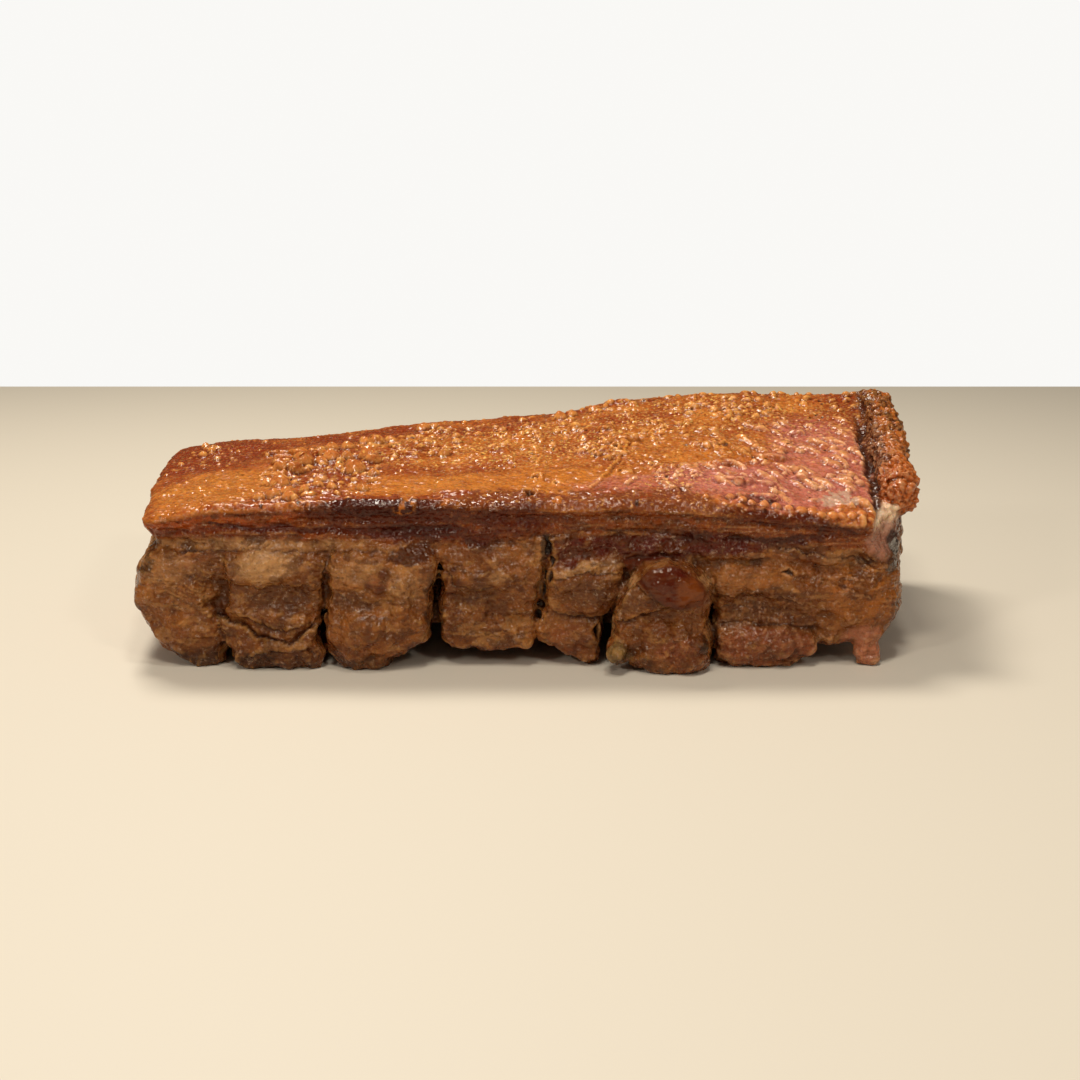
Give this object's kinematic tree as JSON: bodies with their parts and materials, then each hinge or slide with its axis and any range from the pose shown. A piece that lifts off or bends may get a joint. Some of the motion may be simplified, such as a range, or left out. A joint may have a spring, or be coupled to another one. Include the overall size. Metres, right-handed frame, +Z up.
{
  "type": "roast pork belly",
  "caption": "Slab of roast pork belly with blistered crackling on top and a rough cut face of rib meat fingers below; lies flat, ready to be placed on a board or dish.",
  "frame": {"origin": "centre of the bounding box in plan, at the height of the surface the meat lies on", "axes": "+X along the slab towards the end with the curled rind, +Y from the cut face with the rib meat fingers to the face behind, +Z up through the rind"},
  "size_m": [0.2826, 0.142, 0.0776],
  "materials": {
    "roasted_meat": "glossy roasted rind over browned, greasy meat and fat"
  },
  "bodies": {
    "root": {"pork_belly": "roasted_meat"}
  },
  "joints": []
}
